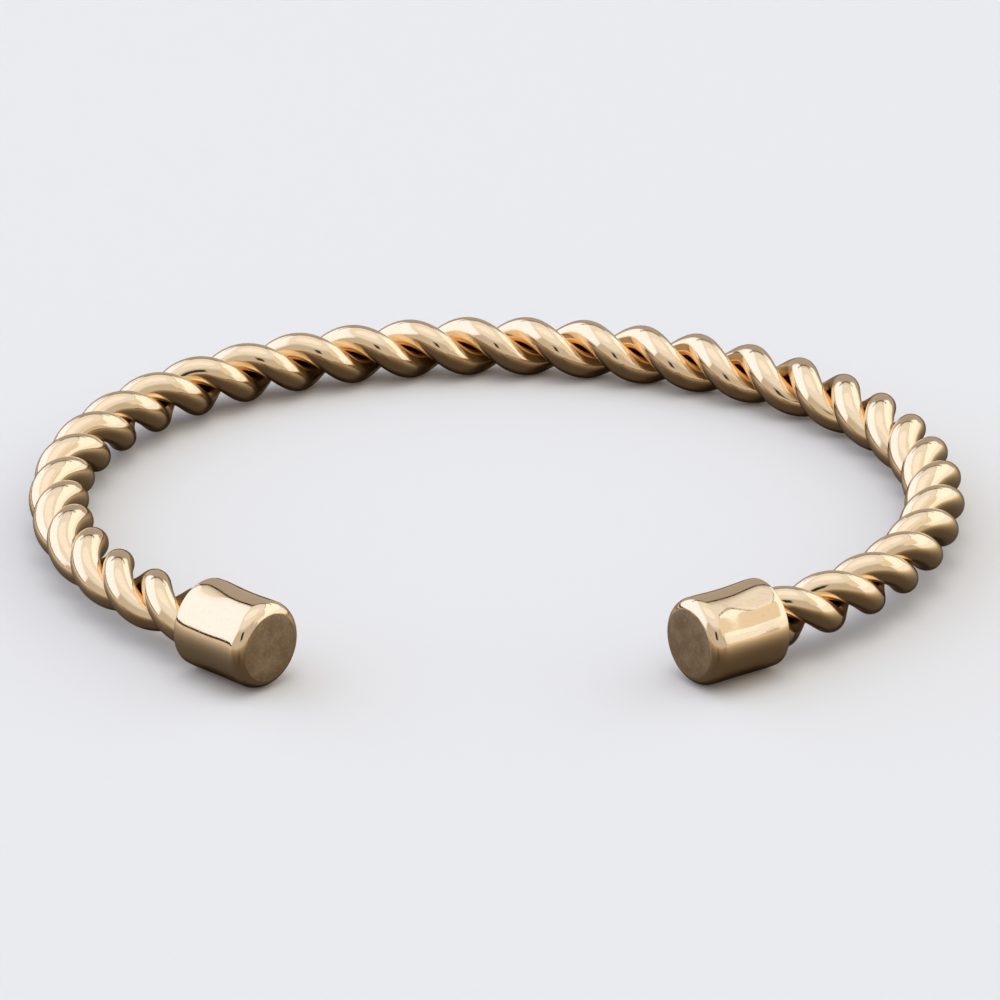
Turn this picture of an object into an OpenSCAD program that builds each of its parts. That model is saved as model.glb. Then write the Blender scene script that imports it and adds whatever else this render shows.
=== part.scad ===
/* [Bend of the rope] */
// Radius of the bend across the back, to the middle of the rope
back_bend_r = 36.2; // [34:0.2:40]
// Angle from the middle of the back to each end of that bend
back_bend_angle = 32.5; // [29:0.5:36]
// Radius of the bend round the left side
left_bend_r = 27.6; // [26:0.2:32]
// Angle of the bend round the left side
left_bend_angle = 104.5; // [95:0.5:112]
// Radius of the bend round the right side
right_bend_r = 26.6; // [26:0.2:32]
// Angle of the bend round the right side
right_bend_angle = 111; // [95:0.5:114]
// Straight stretch of rope between the left bend and the left cap
left_straight_len = 3.7; // [1:0.1:6]
// Straight stretch of rope between the right bend and the right cap
right_straight_len = 2.5; // [1:0.1:6]

/* [Twist] */
// Thickness of each of the two round wires
wire_d = 2.2; // [1.6:0.1:2.6]
// Gap between the two wires where they pass closest
wire_gap = 0.04; // [0.02:0.01:0.1]
// Length of rope in which a wire goes once round, at the left cap
left_lay = 9.1; // [8:0.02:12]
// Length of rope in which a wire goes once round, at the right cap
right_lay = 8.72; // [8:0.02:12]
// Angle of the first wire at the middle of the back: 0 is outwards, 90 is on top
twist_start = 2; // [0:1:359]

/* [End caps] */
// Outer diameter of a cap
cap_d = 6.4; // [6:0.1:8]
// Length of a cap
cap_len = 6.7; // [6:0.1:10]
// Radius of the rounded edge round a cap's end face
front_edge_r = 1.05; // [0.2:0.05:1.1]
// Radius of the rounded edge at a cap's rear, where the rope goes in
rear_edge_r = 0.2; // [0.1:0.05:0.5]
// Depth of the socket that holds the rope
socket_depth = 4.8; // [3:0.1:4.8]
// Gap all round between the rope and its socket
socket_gap = 0.05; // [0.03:0.01:0.1]

/* [Hidden] */

wire_sides = 12;      // corners round a wire
rings_per_turn = 18;  // rings of corners in one turn of the twist
cap_sides = 96;

wire_r = wire_d / 2;
orbit_r = wire_r + wire_gap / 2;  // from the middle of the rope to the middle of a wire
rope_r = orbit_r + wire_r;
cap_r = cap_d / 2;
socket_r = rope_r + socket_gap;

back_len = arc_len(back_bend_r, back_bend_angle);
left_len = back_len + arc_len(left_bend_r, left_bend_angle) + left_straight_len;
right_len = back_len + arc_len(right_bend_r, right_bend_angle) + right_straight_len;
wire_tilt = atan(2 * PI * orbit_r / min(left_lay, right_lay));  // of a wire against the rope
tuck_len = socket_depth - socket_gap - wire_r * sin(wire_tilt);  // rope inside each socket

left_rate = 360 / left_lay;  // degrees of twist for each millimetre of rope
right_rate = 360 / right_lay;
middle_rate = (left_rate + right_rate) / 2;
rate_gain = (right_rate - left_rate) / (left_len + right_len);

wire_rings = round((left_len + right_len + 2 * tuck_len) * middle_rate / 360 * rings_per_turn);

// The bangle lies on its two caps and on the back of the rope, which is thinner, so its plane leans
lean = atan((cap_r - rope_r) / -max(rope_middle(-left_len).y, rope_middle(right_len).y));
lift = rope_r * cos(lean);
side_reach = [
  back_bend_r * sin(back_bend_angle) + left_bend_r * (1 - sin(back_bend_angle)),
  back_bend_r * sin(back_bend_angle) + right_bend_r * (1 - sin(back_bend_angle))
];
centring = [
  (side_reach[0] - side_reach[1]) / 2,
  (max(cap_reach(-left_len), cap_reach(right_len)) - rope_r) / 2
];

function arc_len(radius, angle) = radius * angle * PI / 180;
function arc_angle(radius, length) = length / radius * 180 / PI;
function unit(v) = v / norm(v);

// The places along the rope are counted from the middle of the back: less than 0 is left, more is right
function side_r(s) = s < 0 ? left_bend_r : right_bend_r;
function side_angle(s) = s < 0 ? left_bend_angle : right_bend_angle;
function side_straight(s) = s < 0 ? left_straight_len : right_straight_len;
function side_len(s) = s < 0 ? left_len : right_len;

// Angle that the rope has turned through since the middle of the back
function rope_turn(s) = abs(s) < back_len
  ? arc_angle(back_bend_r, abs(s))
  : back_bend_angle + min(arc_angle(side_r(s), abs(s) - back_len), side_angle(s));

// Middle of the rope, in the plane that it is bent in
function rope_middle(s) = let(
    turn = rope_turn(s),
    back_turn = min(turn, back_bend_angle),
    straight = max(0, abs(s) - side_len(s) + side_straight(s)))
  [
    sign(s) * (back_bend_r * sin(back_turn) + side_r(s) * (sin(turn) - sin(back_turn)) + straight * cos(turn)),
    back_bend_r * (cos(back_turn) - 1) + side_r(s) * (cos(turn) - cos(back_turn)) - straight * sin(turn)
  ];

function twist(s) = twist_start + s * (middle_rate + rate_gain * s / 2);

// Direction from the middle of the rope to the middle of a wire
function wire_side(s, phase) = let(a = twist(s) + phase)
  [sign(s) * sin(rope_turn(s)) * cos(a), cos(rope_turn(s)) * cos(a), sin(a)];

function wire_middle(s, phase) = let(p = rope_middle(s))
  [p.x, p.y, 0] + orbit_r * wire_side(s, phase);

// One ring of corners, square to the wire
function wire_ring(s, phase) = let(
    step = 0.01,
    along = unit(wire_middle(s + step, phase) - wire_middle(s - step, phase)),
    out = wire_side(s, phase),
    across = cross(along, out))
  [for (k = [0 : wire_sides - 1]) let(a = 360 * k / wire_sides)
    wire_middle(s, phase) + wire_r * (cos(a) * out + sin(a) * across)];

// How far a cap reaches towards the front of the bangle
function cap_reach(s) = let(turn = rope_turn(s))
  -rope_middle(s).y + (cap_len - front_edge_r) * sin(turn)
  - (cap_r - front_edge_r) * cos(turn) + front_edge_r;

module laid_down() {
  translate([centring.x, centring.y, lift]) rotate([-lean, 0, 0]) children();
}

module wire(phase) {
  from = -left_len - tuck_len;
  to = right_len + tuck_len;
  corners = [for (i = [0 : wire_rings]) each wire_ring(from + (to - from) * i / wire_rings, phase)];
  walls = [for (i = [0 : wire_rings - 1], k = [0 : wire_sides - 1]) let(
      a = i * wire_sides + k,
      b = i * wire_sides + (k + 1) % wire_sides)
    each [[a, b, b + wire_sides], [a, b + wire_sides, a + wire_sides]]];
  first_face = [for (k = [wire_sides - 1 : -1 : 0]) k];
  last_face = [for (k = [0 : wire_sides - 1]) wire_rings * wire_sides + k];
  laid_down() polyhedron(corners, concat(walls, [first_face, last_face]));
}

// Half section of a cap: the axis is upright, the rear is at the bottom
module cap_section() {
  difference() {
    union() {
      square([cap_r - rear_edge_r, rear_edge_r]);
      translate([cap_r - rear_edge_r, rear_edge_r]) circle(rear_edge_r, $fn = cap_sides);
      translate([0, rear_edge_r]) square([cap_r, cap_len - rear_edge_r - front_edge_r]);
      translate([cap_r - front_edge_r, cap_len - front_edge_r]) circle(front_edge_r, $fn = cap_sides);
      translate([0, cap_len - front_edge_r]) square([cap_r - front_edge_r, front_edge_r]);
    }
    square([socket_r, socket_depth]);
  }
}

module end_cap(s) {
  direction = s < 0 ? rope_turn(s) - 180 : -rope_turn(s);
  laid_down() translate(rope_middle(s)) rotate([0, 90, direction])
    rotate_extrude($fn = cap_sides) cap_section();
}

module twist_wire_a() {
  color([0.84, 0.7, 0.46]) wire(0);
}

module twist_wire_b() {
  color([0.8, 0.66, 0.42]) wire(180);
}

module end_cap_left() {
  color([0.78, 0.65, 0.42]) end_cap(-left_len);
}

module end_cap_right() {
  color([0.78, 0.65, 0.42]) end_cap(right_len);
}

twist_wire_a();
twist_wire_b();
end_cap_left();
end_cap_right();
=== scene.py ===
import math

import bmesh
import bpy
from mathutils import Matrix, Vector


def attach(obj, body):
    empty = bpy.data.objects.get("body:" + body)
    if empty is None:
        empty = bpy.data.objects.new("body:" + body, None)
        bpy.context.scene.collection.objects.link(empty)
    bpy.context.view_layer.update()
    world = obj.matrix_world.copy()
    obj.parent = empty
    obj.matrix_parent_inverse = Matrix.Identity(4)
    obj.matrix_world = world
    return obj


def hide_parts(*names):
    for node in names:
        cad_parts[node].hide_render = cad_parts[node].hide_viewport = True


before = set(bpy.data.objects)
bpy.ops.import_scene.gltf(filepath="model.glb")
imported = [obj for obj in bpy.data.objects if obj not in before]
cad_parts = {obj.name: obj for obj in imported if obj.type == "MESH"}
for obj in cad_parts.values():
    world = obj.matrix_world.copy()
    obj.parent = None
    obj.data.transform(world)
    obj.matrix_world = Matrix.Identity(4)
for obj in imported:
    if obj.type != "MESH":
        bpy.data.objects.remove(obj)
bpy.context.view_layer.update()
mm = 0.001
firstColour, secondColour, mixedColour = 6, 7, 2    # sockets of a Mix node for colours


def nodeIn(tree, kind, place, **settings):
    node = tree.nodes.new(kind)
    node.location = place
    for key, value in settings.items():
        setattr(node, key, value)
    return node


def setIn(tree, node, values):
    # a value is a plain one, or an output of another node
    for socket, value in values.items():
        if isinstance(value, bpy.types.NodeSocket):
            tree.links.new(value, node.inputs[socket])
        else:
            node.inputs[socket].default_value = value


def newGroup(name, inputs, outputs):
    group = bpy.data.node_groups.new(name, "ShaderNodeTree")
    for way, sockets in (("INPUT", inputs), ("OUTPUT", outputs)):
        for socket, kind in sockets.items():
            group.interface.new_socket(socket, in_out=way, socket_type="NodeSocket" + kind)
    return group


def between(tree, value, levels, place, kind="LINEAR"):
    # 0 at the first level, 1 at the second
    node = nodeIn(tree, "ShaderNodeMapRange", place, interpolation_type=kind)
    setIn(tree, node, {"Value": value, "From Min": levels[0], "From Max": levels[1]})
    return node.outputs["Result"]


def mixed(tree, part, first, second, place):
    node = nodeIn(tree, "ShaderNodeMix", place, data_type="RGBA")
    setIn(tree, node, {"Factor": part, firstColour: first, secondColour: second})
    return node.outputs[mixedColour]


polishMarks = {
    "waveDetail": 2.0,
    "scratchTurns": ((0.3, 0.2, 0.5), (0.9, 0.4, 1.9)),
    "scratchScales": ((900, 9000, 5000), (1100, 7000, 8000)),
    "scratchDetail": 3.0, "scratchLevels": (0.56, 0.72),
    "speckScale": 2600, "speckReach": (0.16, 0.06),
    "patchScale": 420, "patchDetail": 2.0, "patchLevels": (0.5, 0.66),    # where the specks gather
    "cloudScale": 900, "cloudDetail": 4.0, "cloudLevels": (0.38, 0.66),
    "dulling": 0.22, "depth": -0.12,    # what wear does to the roughness and to the height
}


def handPolish(marks):
    # tiny waves, fine scratches and dull specks of hand polished gold
    group = newGroup("handPolish", {
        "Wave Scale": "Float", "Scratch Amount": "Float", "Speck Amount": "Float", "Cloud Amount": "Float",
        "Gold": "Color", "Worn Gold": "Color", "Roughness": "Float",
    }, {"Color": "Color", "Roughness": "Float", "Height": "Float"})
    given = nodeIn(group, "NodeGroupInput", (-1100, 0)).outputs
    spot = nodeIn(group, "ShaderNodeTexCoord", (-1100, -300)).outputs["Object"]

    def noise(place, scale, detail, where=spot):
        node = nodeIn(group, "ShaderNodeTexNoise", place)
        setIn(group, node, {"Vector": where, "Scale": scale, "Detail": detail})
        return node.outputs["Fac"]

    def reckon(place, operation, *values, clamped=False):
        node = nodeIn(group, "ShaderNodeMath", place, operation=operation, use_clamp=clamped)
        setIn(group, node, dict(enumerate(values)))
        return node.outputs[0]

    scratches = []
    for k, (turn, scale) in enumerate(zip(marks["scratchTurns"], marks["scratchScales"])):
        row = -100 - 260 * k
        spin = nodeIn(group, "ShaderNodeMapping", (-800, row))
        setIn(group, spin, {"Vector": spot, "Rotation": turn, "Scale": scale})
        line = noise((-560, row), 1.0, marks["scratchDetail"], spin.outputs["Vector"])
        scratches.append(between(group, line, marks["scratchLevels"], (-340, row)))
    scratched = reckon((-120, -200), "MAXIMUM", *scratches)
    scratched = reckon((80, -200), "MULTIPLY", scratched, given["Scratch Amount"])

    cells = nodeIn(group, "ShaderNodeTexVoronoi", (-560, -640))
    setIn(group, cells, {"Vector": spot, "Scale": marks["speckScale"]})
    dots = between(group, cells.outputs["Distance"], marks["speckReach"], (-340, -640))
    patches = noise((-560, -900), marks["patchScale"], marks["patchDetail"])
    patches = between(group, patches, marks["patchLevels"], (-340, -900))
    specked = reckon((-120, -700), "MULTIPLY", dots, patches)
    specked = reckon((80, -700), "MULTIPLY", specked, given["Speck Amount"])
    wear = reckon((300, -400), "ADD", scratched, specked, clamped=True)

    clouds = noise((-560, 500), marks["cloudScale"], marks["cloudDetail"])
    clouds = between(group, clouds, marks["cloudLevels"], (-340, 500))
    toned = reckon((300, 300), "MULTIPLY_ADD", clouds, given["Cloud Amount"], wear, clamped=True)
    waves = noise((-800, 200), given["Wave Scale"], marks["waveDetail"])
    setIn(group, nodeIn(group, "NodeGroupOutput", (900, 0)), {
        "Color": mixed(group, toned, given["Gold"], given["Worn Gold"], (600, 200)),
        "Roughness": reckon((600, -100), "MULTIPLY_ADD", wear, marks["dulling"], given["Roughness"]),
        "Height": reckon((600, -350), "MULTIPLY_ADD", wear, marks["depth"], waves),
    })
    return group


polishGroup = handPolish(polishMarks)


def goldMaterial(name, look):
    material = bpy.data.materials.new(name)
    material.use_nodes = True
    tree = material.node_tree
    polish = nodeIn(tree, "ShaderNodeGroup", (-500, 0), node_tree=polishGroup)
    setIn(tree, polish, {
        "Wave Scale": look["waveScale"], "Scratch Amount": look["scratches"],
        "Speck Amount": look["specks"], "Cloud Amount": look["clouds"],
        "Gold": (*look["gold"], 1), "Worn Gold": (*look["wornGold"], 1), "Roughness": look["roughness"],
    })
    bump = nodeIn(tree, "ShaderNodeBump", (-240, -250))
    setIn(tree, bump, {
        "Strength": look["bumpStrength"], "Distance": look["bumpDepth"] * mm,
        "Height": polish.outputs["Height"],
    })
    setIn(tree, tree.nodes["Principled BSDF"], {
        "Metallic": 1.0, "Specular IOR Level": 0.5, "Base Color": polish.outputs["Color"],
        "Roughness": polish.outputs["Roughness"], "Normal": bump.outputs["Normal"],
    })
    return material


wireGold = goldMaterial("wireGold", {
    "gold": (0.93, 0.71, 0.46), "wornGold": (0.80, 0.57, 0.31), "roughness": 0.1, "waveScale": 320,
    "scratches": 0.25, "specks": 0.4, "clouds": 0.12, "bumpStrength": 0.3, "bumpDepth": 0.05,
})
capGold = goldMaterial("capGold", {
    "gold": (0.93, 0.71, 0.465), "wornGold": (0.80, 0.56, 0.30), "roughness": 0.07, "waveScale": 190,
    "scratches": 0.3, "specks": 0.6, "clouds": 0.08, "bumpStrength": 0.25, "bumpDepth": 0.05,
})
satinGold = goldMaterial("satinGold", {
    "gold": (0.45, 0.315, 0.185), "wornGold": (0.76, 0.59, 0.40), "roughness": 0.5, "waveScale": 2600,
    "scratches": 0.45, "specks": 0.3, "clouds": 0.4, "bumpStrength": 0.5, "bumpDepth": 0.03,
})
print("gold made")

# sizes in mm and degrees, the same as in the frame
rope = {
    "backRadius": 36.2, "backAngle": 32.5,
    "leftRadius": 27.6, "leftAngle": 104.5, "leftStraight": 3.7,
    "rightRadius": 26.6, "rightAngle": 111.0, "rightStraight": 2.5,
    "wireRadius": 1.1, "wireGap": 0.04,
    "leftLay": 9.1, "rightLay": 8.72, "twistStart": 2.0,
    "tuck": 4.0,    # rope hidden in each cap
    "drawnOrbit": 1.101, "drawnRadius": 1.103,    # the drawn wires touch, as the real ones do
    "sides": 40, "ringsPerTurn": 44,
}

ropeRadius = 2 * rope["wireRadius"] + rope["wireGap"] / 2
backAngle = math.radians(rope["backAngle"])
backLength = backAngle * rope["backRadius"]
sideLength = {}
for side in ("left", "right"):
    bendLength = math.radians(rope[side + "Angle"]) * rope[side + "Radius"]
    sideLength[side] = backLength + bendLength + rope[side + "Straight"]
leftEnd, rightEnd = -sideLength["left"], sideLength["right"]
leftRate, rightRate = 360 / rope["leftLay"], 360 / rope["rightLay"]
middleRate = (leftRate + rightRate) / 2
rateGain = (rightRate - leftRate) / (rightEnd - leftEnd)


# s is a length of rope from the middle of the back, less than 0 on the left
def sideOf(s):
    return "left" if s < 0 else "right"


def ropeTurn(s):
    if abs(s) < backLength:
        return abs(s) / rope["backRadius"]
    bend = (abs(s) - backLength) / rope[sideOf(s) + "Radius"]
    return backAngle + min(bend, math.radians(rope[sideOf(s) + "Angle"]))


def ropeMiddle(s):
    side, turn = sideOf(s), ropeTurn(s)
    backTurn = min(turn, backAngle)
    straight = max(0.0, abs(s) - sideLength[side] + rope[side + "Straight"])
    big, small = rope["backRadius"], rope[side + "Radius"]
    x = big * math.sin(backTurn) + small * (math.sin(turn) - math.sin(backTurn))
    y = big * (math.cos(backTurn) - 1) + small * (math.cos(turn) - math.cos(backTurn))
    return Vector((math.copysign(x + straight * math.cos(turn), s), y - straight * math.sin(turn), 0))


def outward(s):
    turn = ropeTurn(s)
    return Vector((math.copysign(math.sin(turn), s), math.cos(turn), 0))


def onward(s):
    # along the rope, away from the back
    turn = ropeTurn(s)
    return Vector((math.copysign(1, s) * math.cos(turn), -math.sin(turn), 0))


def wireSide(s, phase):
    angle = math.radians(rope["twistStart"] + s * (middleRate + rateGain * s / 2) + phase)
    return outward(s) * math.cos(angle) + Vector((0, 0, math.sin(angle)))


def wireMiddle(s, phase):
    return ropeMiddle(s) + wireSide(s, phase) * rope["drawnOrbit"]


def wireRing(s, phase):
    nudge = 0.01
    middle, out = wireMiddle(s, phase), wireSide(s, phase)
    along = (wireMiddle(s + nudge, phase) - wireMiddle(s - nudge, phase)).normalized()
    across = along.cross(out).normalized()
    angles = [2 * math.pi * k / rope["sides"] for k in range(rope["sides"])]
    return [middle + (out * math.cos(a) + across * math.sin(a)) * rope["drawnRadius"] for a in angles]


def wireMesh(name, phase, node):
    start, end, sides = leftEnd - rope["tuck"], rightEnd + rope["tuck"], rope["sides"]
    rings = round((end - start) * middleRate / 360 * rope["ringsPerTurn"])
    verts, faces = [], []
    for i in range(rings + 1):
        verts += wireRing(start + (end - start) * i / rings, phase)
    for i in range(rings):
        for k in range(sides):
            a, b = i * sides + k, i * sides + (k + 1) % sides
            faces.append((a, b, b + sides, a + sides))
    for row in (0, rings):    # a fan closes each hidden end
        centre = len(verts)
        verts.append(wireMiddle(start if row == 0 else end, phase))
        for k in range(sides):
            a, b = row * sides + k, row * sides + (k + 1) % sides
            faces.append((b, a, centre) if row == 0 else (a, b, centre))
    piece = newPiece(name, verts, faces, wireGold)
    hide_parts(node)
    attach(piece, "root")


cap = {
    "radius": 3.2, "length": 6.7, "frontEdge": 1.05, "rearEdge": 0.2,
    "socketRadius": 2.29, "socketDepth": 4.8,
    "socketLip": ((0.14, 0.0), (0.04, 0.05), (0.0, 0.16)),    # depth and widening at the socket's mouth
    "drawnRadius": 3.197,    # a hair less, so that the drawn cap stays inside the real one's box
    "satinRadius": 2.5, "domeStart": 1.5,    # the end face is dull, and falls away a little at its edge
    "satinRings": (0.985, 0.95, 0.9, 0.84, 0.77, 0.7, 0.6, 0.4, 0.2, 0.0),    # parts of satinRadius
    "rearRings": 6, "sideRings": 32, "frontRings": 14, "around": 144,
    # what hand polishing has taken off the side, outside a radius of wornFrom
    "wornFrom": 2.6, "waist": 0.045, "waistStart": 0.5, "waistLength": 5.3,
    "unevenness": 0.012, "waves": ((3, 1.3, 0.0), (5, -0.9, 1.0)),    # number round the cap, drift, start
    "rearFall": 0.07, "rearFallLength": 0.95,    # and off its rear end
    "flare": 0.11, "flareLength": 3.0,    # how far the rear stands up on top
}


def capProfile():
    # (distance along the cap, radius) from the socket's floor round the rear to the middle of the end face
    r, length, front, rear = cap["drawnRadius"], cap["length"], cap["frontEdge"], cap["rearEdge"]
    socket, satin = cap["socketRadius"], cap["satinRadius"]
    points = [(cap["socketDepth"], 0.0), (cap["socketDepth"], socket)]
    points += [(depth, socket + wider) for depth, wider in cap["socketLip"]]
    for k in range(cap["rearRings"] + 1):
        a = math.pi / 2 * k / cap["rearRings"]
        points.append((rear - rear * math.cos(a), r - rear + rear * math.sin(a)))
    straight = length - front - rear
    points += [(rear + straight * k / cap["sideRings"], r) for k in range(1, cap["sideRings"])]
    crease = math.asin((satin - r + front) / front)
    for k in range(cap["frontRings"] + 1):
        a = (math.pi / 2 - crease) * k / cap["frontRings"]
        points.append((length - front + front * math.sin(a), r - front + front * math.cos(a)))
    flat = len(points) - 1
    edge = length - points[-1][0]
    for radius in (satin * part for part in cap["satinRings"]):
        slope = max(0, (radius - cap["domeStart"]) / (satin - cap["domeStart"]))
        points.append((length - edge * slope ** 2, radius))
    return points, flat


def wornOff(along, angle):
    part = min(max((along - cap["waistStart"]) / cap["waistLength"], 0), 1)
    wobble = sum(math.sin(waves * angle + drift * along + start) for waves, drift, start in cap["waves"])
    onTop = (1 + math.sin(angle)) / 2    # more on top, where it shows
    waist = math.sin(math.pi * part) ** 2 * (cap["waist"] * onTop + cap["unevenness"] * (1 + wobble / 2))
    fall = cap["rearFall"] * max(0, 1 - along / cap["rearFallLength"]) ** 2
    flare = cap["flare"] * (max(0, 1 - along / cap["flareLength"]) * max(0, math.sin(angle))) ** 2
    return waist + fall - flare


def capRing(s, along, radius):
    middle = ropeMiddle(s) + onward(s) * along
    if radius == 0:
        return [middle]
    ring = []
    for a in (2 * math.pi * k / cap["around"] for k in range(cap["around"])):
        side = radius - (wornOff(along, a) if radius > cap["wornFrom"] else 0)
        ring.append(middle + (outward(s) * math.cos(a) + Vector((0, 0, math.sin(a)))) * side)
    return ring


def capMesh(name, s, node):
    points, flat = capProfile()
    verts, faces, satin, rows = [], [], [], []
    for along, radius in points:
        ring = capRing(s, along, radius)
        rows.append(range(len(verts), len(verts) + len(ring)))
        verts += ring
    for i, (low, high) in enumerate(zip(rows, rows[1:])):
        for k in range(cap["around"]):
            j = (k + 1) % cap["around"]
            if len(low) == 1:
                faces.append((low[0], high[k], high[j]))
            elif len(high) == 1:
                faces.append((low[k], low[j], high[0]))
            else:
                faces.append((low[k], low[j], high[j], high[k]))
            satin.append(int(i >= flat))
    piece = newPiece(name, verts, faces, capGold)
    piece.data.materials.append(satinGold)
    piece.data.polygons.foreach_set("material_index", satin)
    work = bmesh.new()
    work.from_mesh(piece.data)
    bmesh.ops.recalc_face_normals(work, faces=work.faces)
    work.to_mesh(piece.data)
    work.free()
    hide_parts(node)
    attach(piece, "root")


def capReach(s):
    # how far a cap reaches towards the front
    turn, front = ropeTurn(s), cap["frontEdge"]
    ahead = (cap["length"] - front) * math.sin(turn) - (cap["radius"] - front) * math.cos(turn)
    return ahead + front - ropeMiddle(s).y


def sideReach(side):
    return rope["backRadius"] * math.sin(backAngle) + rope[side + "Radius"] * (1 - math.sin(backAngle))


# the bangle leans a little, because the caps are thicker than the rope
frontmost = -max(ropeMiddle(leftEnd).y, ropeMiddle(rightEnd).y)
lean = math.atan((cap["radius"] - ropeRadius) / frontmost)
centring = Vector(((sideReach("left") - sideReach("right")) / 2,
                   (max(capReach(leftEnd), capReach(rightEnd)) - ropeRadius) / 2,
                   ropeRadius * math.cos(lean)))
laidDown = Matrix.Scale(mm, 4) @ Matrix.Translation(centring) @ Matrix.Rotation(-lean, 4, "X")


def newPiece(name, verts, faces, material):
    mesh = bpy.data.meshes.new(name)
    mesh.from_pydata([tuple(laidDown @ v) for v in verts], [], faces)
    mesh.validate()
    mesh.polygons.foreach_set("use_smooth", [True] * len(mesh.polygons))
    mesh.materials.append(material)
    piece = bpy.data.objects.new(name, mesh)
    bpy.context.scene.collection.objects.link(piece)
    return piece


wireMesh("polishedWireA", 0, "twist_wire_a")
wireMesh("polishedWireB", 180, "twist_wire_b")
print("wires made")
capMesh("polishedCapLeft", leftEnd, "end_cap_left")
capMesh("polishedCapRight", rightEnd, "end_cap_right")
print("caps made")


def plainMaterial(name, colour, roughness):
    material = bpy.data.materials.new(name)
    material.use_nodes = True
    shader = material.node_tree.nodes["Principled BSDF"]
    setIn(material.node_tree, shader, {"Base Color": (*colour, 1), "Roughness": roughness})
    return material, shader


def stagePiece(name, verts, material):
    mesh = bpy.data.meshes.new(name)
    mesh.from_pydata(verts, [], [tuple(range(len(verts)))])
    mesh.materials.append(material)
    piece = bpy.data.objects.new(name, mesh)
    bpy.context.scene.collection.objects.link(piece)
    return piece


def boardOutline(width, height):
    return [(x * width / 2, y * height / 2, 0) for x, y in ((-1, -1), (1, -1), (1, 1), (-1, 1))]


def towards(azimuth, elevation):
    # azimuth goes from the camera's side towards +X
    a, e = math.radians(azimuth), math.radians(elevation)
    return Vector((math.sin(a) * math.cos(e), -math.cos(a) * math.cos(e), math.sin(e)))


# the studio's sizes and distances are in metres
floorLook = {
    "size": 8, "colour": (0.80, 0.765, 0.71), "roughness": 0.9, "specular": 0.2,
    # inMetal is painted shade: the floor's colour for rays reflected off the metal, far darker than its pale
    # colour
    "inMetal": (0.056, 0.041, 0.028), "sheen": (1.0, 0.84, 0.62), "sheenRoughness": 0.3, "sheenIor": 1.5,
}


def floorMaterial(look):
    # pale to the eye; in the metal it shows as painted shade, a dark warm brown that darkens the metal's
    # undersides, with a Fresnel sheen at grazing angles
    material, pale = plainMaterial("paleFloor", look["colour"], look["roughness"])
    tree = material.node_tree
    paintedShade = nodeIn(tree, "ShaderNodeBsdfDiffuse", (0, -500))
    sheen = nodeIn(tree, "ShaderNodeBsdfGlossy", (0, -700))
    slant = nodeIn(tree, "ShaderNodeFresnel", (0, -350))
    path = nodeIn(tree, "ShaderNodeLightPath", (0, 500))
    inMetal = nodeIn(tree, "ShaderNodeMixShader", (200, -500))
    blend = nodeIn(tree, "ShaderNodeMixShader", (400, 0))
    setIn(tree, pale, {"Specular IOR Level": look["specular"]})
    setIn(tree, paintedShade, {"Color": (*look["inMetal"], 1)})
    setIn(tree, sheen, {"Color": (*look["sheen"], 1), "Roughness": look["sheenRoughness"]})
    setIn(tree, slant, {"IOR": look["sheenIor"]})
    setIn(tree, inMetal, {"Fac": slant.outputs["Fac"], 1: paintedShade.outputs["BSDF"], 2: sheen.outputs["BSDF"]})
    # rays reflected off the metal get the painted shade and its sheen, all other rays get the pale floor
    setIn(tree, blend, {
        "Fac": path.outputs["Is Glossy Ray"], 1: pale.outputs["BSDF"], 2: inMetal.outputs["Shader"],
    })
    setIn(tree, tree.nodes["Material Output"], {"Surface": blend.outputs["Shader"]})
    return material


stagePiece("floor", boardOutline(floorLook["size"], floorLook["size"]), floorMaterial(floorLook))

# Seen from behind a panel: the radii of its corners go round to the left from the upper right one, and the
# widths of its black rims are for the left, right, bottom and top.
panels = {
    "leftPanel": {
        "azimuth": -105.5, "elevation": 32.5, "distance": 0.9, "size": (1.88, 0.92),
        "corners": (0.1, 0.38, 0.05, 0.05), "rims": (0.0, 0.0, 0.09, 0.0),
        "brightness": 1.7, "tint": (0.68, 0.77, 1.0), "edgeTint": (0.62, 0.66, 0.80),
    },
    "rightPanel": {
        "azimuth": 104, "elevation": 28, "distance": 1.05, "size": (1.68, 1.1),
        "corners": (0.1, 0.1, 0.1, 0.1), "rims": (0.0, 0.0, 0.0, 0.0),
        "brightness": 1.2, "tint": (0.86, 0.93, 1.0), "edgeTint": (0.85, 0.89, 0.97),
    },
    "rightFront": {
        "azimuth": 111, "elevation": 34.5, "distance": 0.95, "size": (1.5, 0.62),
        "corners": (0.12, 0.12, 0.12, 0.12), "rims": (0.0, 0.018, 0.0, 0.018),
        "brightness": 1.36, "tint": (0.88, 0.96, 1.05), "edgeTint": (0.86, 0.92, 0.98),
    },
    "topPanel": {
        "azimuth": 0, "elevation": 89.9, "distance": 1.2, "size": (1.0, 0.8),
        "corners": (0.2, 0.2, 0.2, 0.2), "rims": (0.0, 0.0, 0.0, 0.0),
        "brightness": 1.16, "tint": (0.95, 0.98, 1.1), "edgeTint": (0.82, 0.87, 0.96),
    },
}
glow = {"reach": 0.62, "edge": (0.0, 0.4)}    # the glow's reach as a part of the panel, and its soft edge
rimBehind = 1.003    # a black rim is this much farther off than its panel


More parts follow.
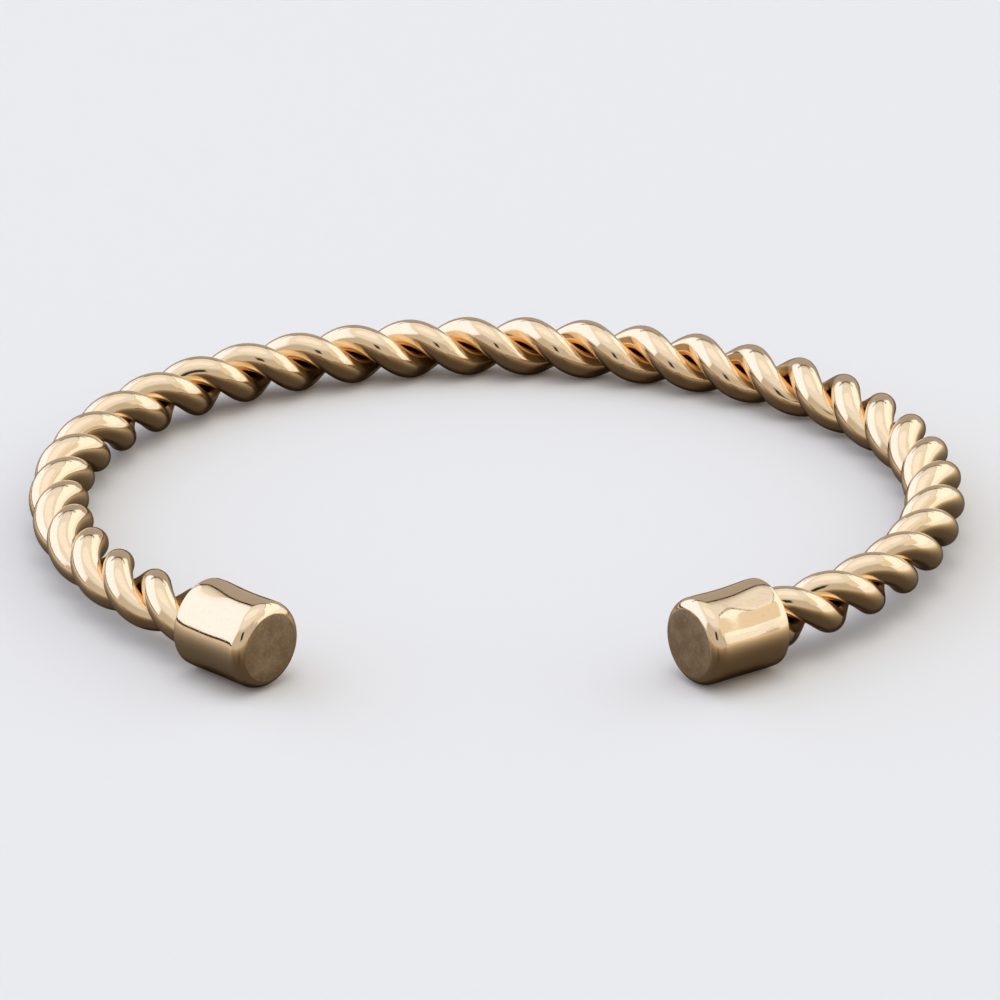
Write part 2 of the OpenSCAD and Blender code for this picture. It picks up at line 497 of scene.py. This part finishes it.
def panelGlow():
    # a panel's light, which falls off from its middle to its edge
    inputs = {"Tint": "Color", "Edge Tint": "Color", "Span": "Vector"}
    group = newGroup("panelGlow", inputs, {"Color": "Color"})
    given = nodeIn(group, "NodeGroupInput", (-800, 0)).outputs
    spot = nodeIn(group, "ShaderNodeTexCoord", (-800, -200)).outputs["Object"]
    scaled = nodeIn(group, "ShaderNodeVectorMath", (-600, -100), operation="DIVIDE")
    ball = nodeIn(group, "ShaderNodeTexGradient", (-400, -100), gradient_type="SPHERICAL")
    setIn(group, scaled, {0: spot, 1: given["Span"]})
    setIn(group, ball, {"Vector": scaled.outputs[0]})
    inner = between(group, ball.outputs["Fac"], glow["edge"], (-200, -100), "SMOOTHSTEP")
    shade = mixed(group, inner, given["Edge Tint"], given["Tint"], (100, 0))
    setIn(group, nodeIn(group, "NodeGroupOutput", (400, 0)), {"Color": shade})
    return group


glowGroup = panelGlow()
boardBlack, _ = plainMaterial("boardBlack", (0.01, 0.01, 0.01), 0.8)


def panelOutline(width, height, corners):
    outline = []
    for k, (x, y) in enumerate(((1, 1), (-1, 1), (-1, -1), (1, -1))):
        for turn in range(90 * k, 90 * k + 91, 15):
            a = math.radians(turn)
            outline.append((x * (width / 2 - corners[k]) + corners[k] * math.cos(a),
                            y * (height / 2 - corners[k]) + corners[k] * math.sin(a), 0))
    return outline


def lightPanel(name, look):
    width, height = look["size"]
    spot = towards(look["azimuth"], look["elevation"]) * look["distance"]
    turned = spot.to_track_quat("Z", "Y").to_euler()
    material, shader = plainMaterial(name, (0, 0, 0), 1)
    tree = material.node_tree
    light = nodeIn(tree, "ShaderNodeGroup", (-300, 0), node_tree=glowGroup)
    setIn(tree, light, {
        "Tint": (*look["tint"], 1), "Edge Tint": (*look["edgeTint"], 1),
        "Span": (width * glow["reach"], height * glow["reach"], 1),
    })
    setIn(tree, shader, {"Emission Color": light.outputs["Color"], "Emission Strength": look["brightness"]})
    outline = panelOutline(width, height, look["corners"])
    panel = stagePiece(name, outline, material)
    panel.location, panel.rotation_euler = spot, turned
    if max(look["rims"]) > 0:
        left, right, below, above = look["rims"]
        grown = [((x / width + 0.5) * (width + left + right) - width / 2 - left,
                  (y / height + 0.5) * (height + below + above) - height / 2 - below, 0)
                 for x, y, _ in outline]
        rim = stagePiece(name + "Rim", grown, boardBlack)
        rim.location, rim.rotation_euler = spot * rimBehind, turned


for name, look in panels.items():
    lightPanel(name, look)

# hangs in front of the right panels, with the azimuth and elevation of each corner
warmBoard = {
    "corners": ((50, 23), (77, 23), (80, 29), (88, 39), (98, 47), (101, 50), (50, 50)),
    "distance": 0.93, "brightness": 0.89, "tint": (1.0, 0.95, 0.86),
}
material, shader = plainMaterial("warmBoard", (0, 0, 0), 1)
setIn(material.node_tree, shader, {
    "Emission Color": (*warmBoard["tint"], 1), "Emission Strength": warmBoard["brightness"],
})
corners = [towards(*corner) * warmBoard["distance"] for corner in warmBoard["corners"]]
stagePiece("warmBoard", corners, material)

overhead = {"height": 1.1, "size": 0.7, "brightness": 1.05, "tint": (0.95, 0.96, 1.0)}
lamp = bpy.data.lights.new("overhead", "AREA")
lamp.size, lamp.color = overhead["size"], overhead["tint"]
lamp.energy = overhead["brightness"] * math.pi * overhead["size"] ** 2
lampObject = bpy.data.objects.new("overhead", lamp)
lampObject.location = (0, 0, overhead["height"])
lampObject.visible_glossy = False    # it lights the floor, and draws no patch in the metal
bpy.context.scene.collection.objects.link(lampObject)

# a dark bar behind the bangle
backBar = {"distance": 0.9, "elevation": 39.8, "size": (1.0, 0.062)}
bar = stagePiece("backBar", boardOutline(*backBar["size"]), boardBlack)
bar.location = towards(180, backBar["elevation"]) * backBar["distance"]
bar.rotation_euler = bar.location.to_track_quat("Z", "Y").to_euler()

# a soft tent: dimmer behind the bangle, brighter in front and overhead
tent = {
    "front": (0.61, 0.59, 0.57, 1), "behind": (0.44, 0.41, 0.39, 1), "top": (0.92, 0.97, 1.06, 1),
    "frontToBehind": (-0.9, 0.9), "sideToTop": (0.58, 0.8),    # Y and Z where one tone gives way to the next
}
world = bpy.data.worlds.new("studio")
bpy.context.scene.world = world
world.use_nodes = True
tree = world.node_tree
parts = nodeIn(tree, "ShaderNodeSeparateXYZ", (-700, 0))
setIn(tree, parts, {"Vector": nodeIn(tree, "ShaderNodeTexCoord", (-900, 0)).outputs["Generated"]})
backward = between(tree, parts.outputs["Y"], tent["frontToBehind"], (-500, 0), "SMOOTHSTEP")
upward = between(tree, parts.outputs["Z"], tent["sideToTop"], (-500, -300), "SMOOTHSTEP")
walls = mixed(tree, backward, tent["front"], tent["behind"], (-280, 0))
setIn(tree, tree.nodes["Background"], {"Color": mixed(tree, upward, walls, tent["top"], (-100, 0))})

# the aim, distance, lens and sensor are in mm
shot = {
    "aim": (0.2316, -2.0672, 3.0), "elevation": 24.4324, "azimuth": 0.5522, "roll": 0.25,
    "distance": 693.49, "lens": 342.118, "sensor": 36, "clip": (0.01, 20),
}
# the camera's own directions
tip = math.radians(shot["roll"])
back = towards(shot["azimuth"], shot["elevation"])
right = Vector((0, 0, 1)).cross(back).normalized()
up = back.cross(right)
right, up = right * math.cos(tip) + up * math.sin(tip), up * math.cos(tip) - right * math.sin(tip)
aim = Vector(shot["aim"]) * mm
camera = bpy.data.objects.new("camera", bpy.data.cameras.new("camera"))
camera.matrix_world = (Matrix.Translation(aim + back * shot["distance"] * mm)
                       @ Matrix((right, up, back)).transposed().to_4x4())
camera.data.sensor_width, camera.data.lens = shot["sensor"], shot["lens"]
camera.data.clip_start, camera.data.clip_end = shot["clip"]
bpy.context.scene.collection.objects.link(camera)
bpy.context.scene.camera = camera

# a small dark card behind the camera
frontCard = {"distance": 0.75, "size": (0.17, 0.25)}
card = stagePiece("frontCard", boardOutline(*frontCard["size"]), boardBlack)
card.location, card.rotation_euler = aim + back * frontCard["distance"], camera.matrix_world.to_euler()
bpy.context.scene.view_settings.view_transform = "Standard"
print("studio made")
